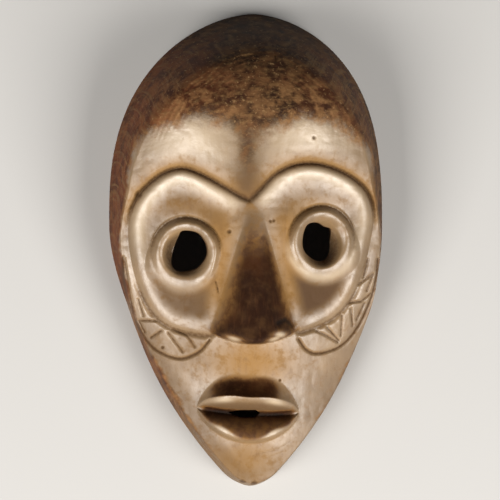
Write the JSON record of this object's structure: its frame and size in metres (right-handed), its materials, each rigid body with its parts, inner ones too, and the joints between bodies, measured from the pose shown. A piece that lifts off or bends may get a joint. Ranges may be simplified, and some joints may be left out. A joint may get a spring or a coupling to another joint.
{
  "type": "dan miniature mask",
  "caption": "Small carved wooden face mask, hollow at the back, with pierced ring eyes, arched brows, a wedge nose, full lips and chip-carved bands below the eyes.",
  "frame": {"origin": "centre of the rim's box on the plane that the back rim lies on", "axes": "+Z out of the face, +Y to the crown, +X to the right of a viewer who looks down on the face"},
  "size_m": [0.0766, 0.132, 0.0364],
  "materials": {
    "carved_wood": "waxed and handled, golden tan on the face, dark brown and rough on the crown, nose and lips"
  },
  "bodies": {
    "root": {"mask": "carved_wood"}
  },
  "joints": []
}
